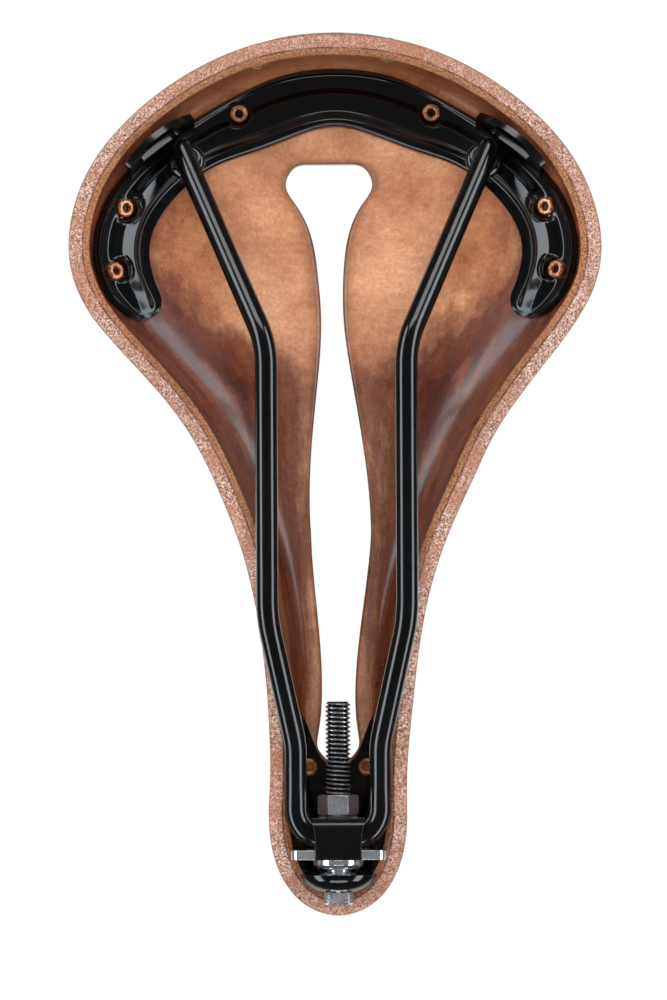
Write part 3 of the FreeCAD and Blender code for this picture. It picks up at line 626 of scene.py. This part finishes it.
def tension_bolt():
    """The bolt as rings along its axis, from the threaded rear end to the square front end."""
    low, high = (corner / MM for corner in map(np.array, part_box("tension_bolt")))
    rear, front = high[1], low[1]
    axis_z = (low[2] + high[2]) / 2
    thread_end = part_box("tension_nut")[0][1] / MM - 0.2
    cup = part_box("nose_cup")[1][1] / MM
    turns = np.arange(BOLT_ANGLES) / BOLT_ANGLES
    round_ring = np.ones(BOLT_ANGLES)
    rings = [(rear, 0.05 * round_ring), (rear, (ROOT_R - 0.1) * round_ring)]
    for y in np.arange(rear - 0.02, thread_end, -PITCH / PITCH_STEPS):
        chamfer = max(ROOT_R + rear - y, ROOT_R)
        rings.append((y, np.minimum(thread_radius(y, turns), chamfer)))
    threaded = len(rings)
    for y, radius in (
        (thread_end - 0.1, NECK_R),
        (thread_end - 0.5, NECK_R),
        (cup + 0.4, 5.2),
        (cup, FLARE_R),
        (cup - 1.0, FLARE_R),
        (cup - 3.0, 4.6),
    ):
        rings.append((y, radius * round_ring))
    for y, size in ((cup - 3.2, SQUARE), (front + 0.35, SQUARE), (front, SQUARE - 0.6)):
        rings.append((y, square_ring(turns, size, SQUARE_CORNER)))
    rings.append((front, square_ring(turns, 0.1, 0.0)))
    angle = turns * 2 * math.pi
    verts = [
        np.stack([radius * np.cos(angle), np.full(BOLT_ANGLES, y), axis_z + radius * np.sin(angle)], axis=-1)
        for y, radius in rings
    ]
    faces = loop_faces(len(rings), BOLT_ANGLES, False)
    screw = make_mesh("threaded_tension_bolt", np.concatenate(verts) * MM, faces, THREAD)
    screw.data.set_sharp_from_angle(angle=math.radians(32))
    # how deep each point lies in the thread; the material darkens the thread roots with it as painted shade
    roots = [np.clip((CREST_R - radius) / (CREST_R - ROOT_R), 0.0, 1.0) for _, radius in rings[:threaded]]
    roots += [np.zeros(BOLT_ANGLES)] * (len(rings) - threaded)
    store(screw.data, "root_shade", "FLOAT", "value", roots)
    return screw


bolt = tension_bolt()
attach(bolt, "nose")
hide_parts("tension_bolt")

# ---------------------------------------------------------------- finishes of the CAD pieces
FINISHES = {
    BLACK_STEEL: ["cantle_plate", "bag_loop_left", "bag_loop_right", "nose_plate"],
    BLACK_ROD: ["rails", "rail_weld_left", "rail_weld_right"],
    BLACK_CUP: ["nose_cup", "cup_welds"],
    BLACK_SATIN: ["shackle_strap"],
    CHROME: ["tension_bolt", "tension_nut", "lock_nut", "thrust_plate"],
    COPPER: [
        "cantle_rivets_rear", "cantle_rivets_mid", "cantle_rivets_wing",
        "nose_rivets_rear", "nose_rivets_front",
    ],
    BRASS: ["badge_plate", "badge_rivets"],
}
for material, nodes in FINISHES.items():
    for node in nodes:
        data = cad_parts[node].data
        data.materials.clear()
        data.materials.append(material)


# ---------------------------------------------------------------- stage, light and camera
ROOM = 5.0  # half of the room's height
WALLS = 8.0  # half of its width
PALE = 0.93


def glowing_sheet(name, corners, level, lights_object):
    """A large plain sheet that is evenly white."""
    material = bpy.data.materials.new(name)
    material.use_nodes = True
    nodes = material.node_tree.nodes
    nodes.clear()
    out = nodes.new("ShaderNodeOutputMaterial")
    glow = nodes.new("ShaderNodeEmission")
    glow.inputs["Color"].default_value = (level, level, level, 1.0)
    material.node_tree.links.new(glow.outputs[0], out.inputs[0])
    sheet = make_mesh(name, corners, [(0, 1, 2, 3)], material, smooth=False)
    sheet.visible_diffuse = lights_object
    sheet.visible_glossy = lights_object


def level_corners(z):
    """The corners of a level sheet as wide as the room."""
    return [(-WALLS, -WALLS, z), (WALLS, -WALLS, z), (WALLS, WALLS, z), (-WALLS, WALLS, z)]


def wall_corners(turn):
    """The corners of one wall; turn counts quarter turns round the room."""
    c, s = round(math.cos(turn * math.pi / 2)), round(math.sin(turn * math.pi / 2))
    ax, ay = WALLS * (c - s), WALLS * (s + c)
    bx, by = WALLS * (c + s), WALLS * (s - c)
    return [(ax, ay, -ROOM), (bx, by, -ROOM), (bx, by, ROOM), (ax, ay, ROOM)]


glowing_sheet("backdrop_sheet", level_corners(ROOM), 1.0, True)
glowing_sheet("floor_sheet", level_corners(-ROOM), PALE, False)
for turn in range(4):
    glowing_sheet(f"wall_sheet_{turn}", wall_corners(turn), PALE, False)

world = bpy.data.worlds.new("studio")
bpy.context.scene.world = world
world.use_nodes = True
background = world.node_tree.nodes["Background"]
background.inputs[0].default_value = (1.0, 1.0, 1.0, 1.0)
background.inputs[1].default_value = 0.08


def softbox(name, place, long, wide, watts, colour=(1.0, 1.0, 1.0)):
    """A soft light aimed at the saddle; its long side is level."""
    light = bpy.data.lights.new(name, "AREA")
    light.shape = "RECTANGLE"
    light.size = long
    light.size_y = wide
    light.energy = watts
    light.color = colour
    box = bpy.data.objects.new(name, light)
    bpy.context.scene.collection.objects.link(box)
    box.location = place
    box.rotation_euler = (-Vector(place)).to_track_quat("-Z", "Y").to_euler()
    return box


COOL_WHITE = (0.84, 0.93, 1.0)
for name, side in (("softbox_left", 1), ("softbox_right", -1)):
    softbox(name, (side * 1.65, 0.0, -0.92), long=4.5, wide=0.75, watts=52.0, colour=COOL_WHITE)
for name, side in (("softbox_rear", 1), ("softbox_nose", -1)):
    softbox(name, (0.0, side * 1.6, -1.0), long=1.2, wide=0.5, watts=7.0)
fill = softbox("fill_light", (0.0, 0.0, -3.6), long=2.4, wide=2.4, watts=118.0)
fill.visible_glossy = False

CAMERA_DISTANCE = 2.6
VIEW_LENGTH = 0.31324  # what the picture's long side takes in at the origin's height
camera_data = bpy.data.cameras.new("camera")
camera_data.sensor_width = 36.0
camera_data.lens = camera_data.sensor_width * CAMERA_DISTANCE / VIEW_LENGTH
camera_data.clip_end = 40.0
camera = bpy.data.objects.new("camera", camera_data)
bpy.context.scene.collection.objects.link(camera)
camera.location = (0.00106, -0.00861, -CAMERA_DISTANCE)
camera.rotation_euler = (0.0, math.pi, math.radians(0.26))
bpy.context.scene.camera = camera
bpy.context.scene.view_settings.view_transform = "Standard"
